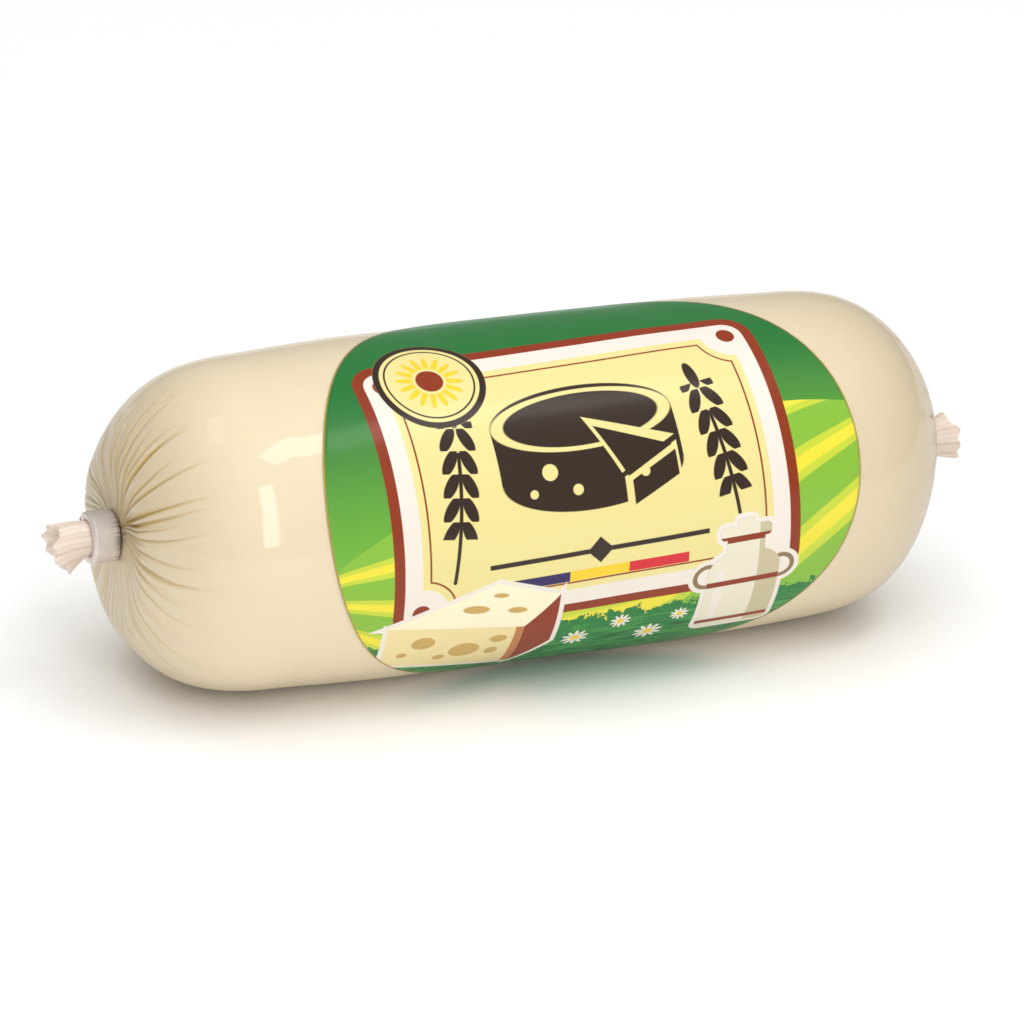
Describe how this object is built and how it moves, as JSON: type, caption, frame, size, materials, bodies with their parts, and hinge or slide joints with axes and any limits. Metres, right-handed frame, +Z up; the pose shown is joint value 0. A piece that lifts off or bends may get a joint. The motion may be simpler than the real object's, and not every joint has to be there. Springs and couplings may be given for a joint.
{
  "type": "kneaded cheese chub in a clipped casing",
  "caption": "Round-ended chub of soft kneaded cheese in a clear casing, gathered and clipped at both ends, with a round label wrapped over its front.",
  "frame": {"origin": "on the floor under the middle of the overall length", "axes": "+X along the chub towards its right end as the label is seen, -Y out of the labelled front, +Z up"},
  "size_m": [0.1772, 0.0623, 0.061],
  "materials": {
    "casing": "clear glossy film drawn tight over ivory cheese, darker and yellower where it is pleated",
    "clip": "pressed flat aluminium wire, satin with fine drag marks from the crimping die",
    "label": "printed self-adhesive film label, glossy, in greens and pale yellow"
  },
  "bodies": {
    "root": {"casing": "casing", "clip_left": "clip", "clip_right": "clip", "label": "label"}
  },
  "joints": []
}
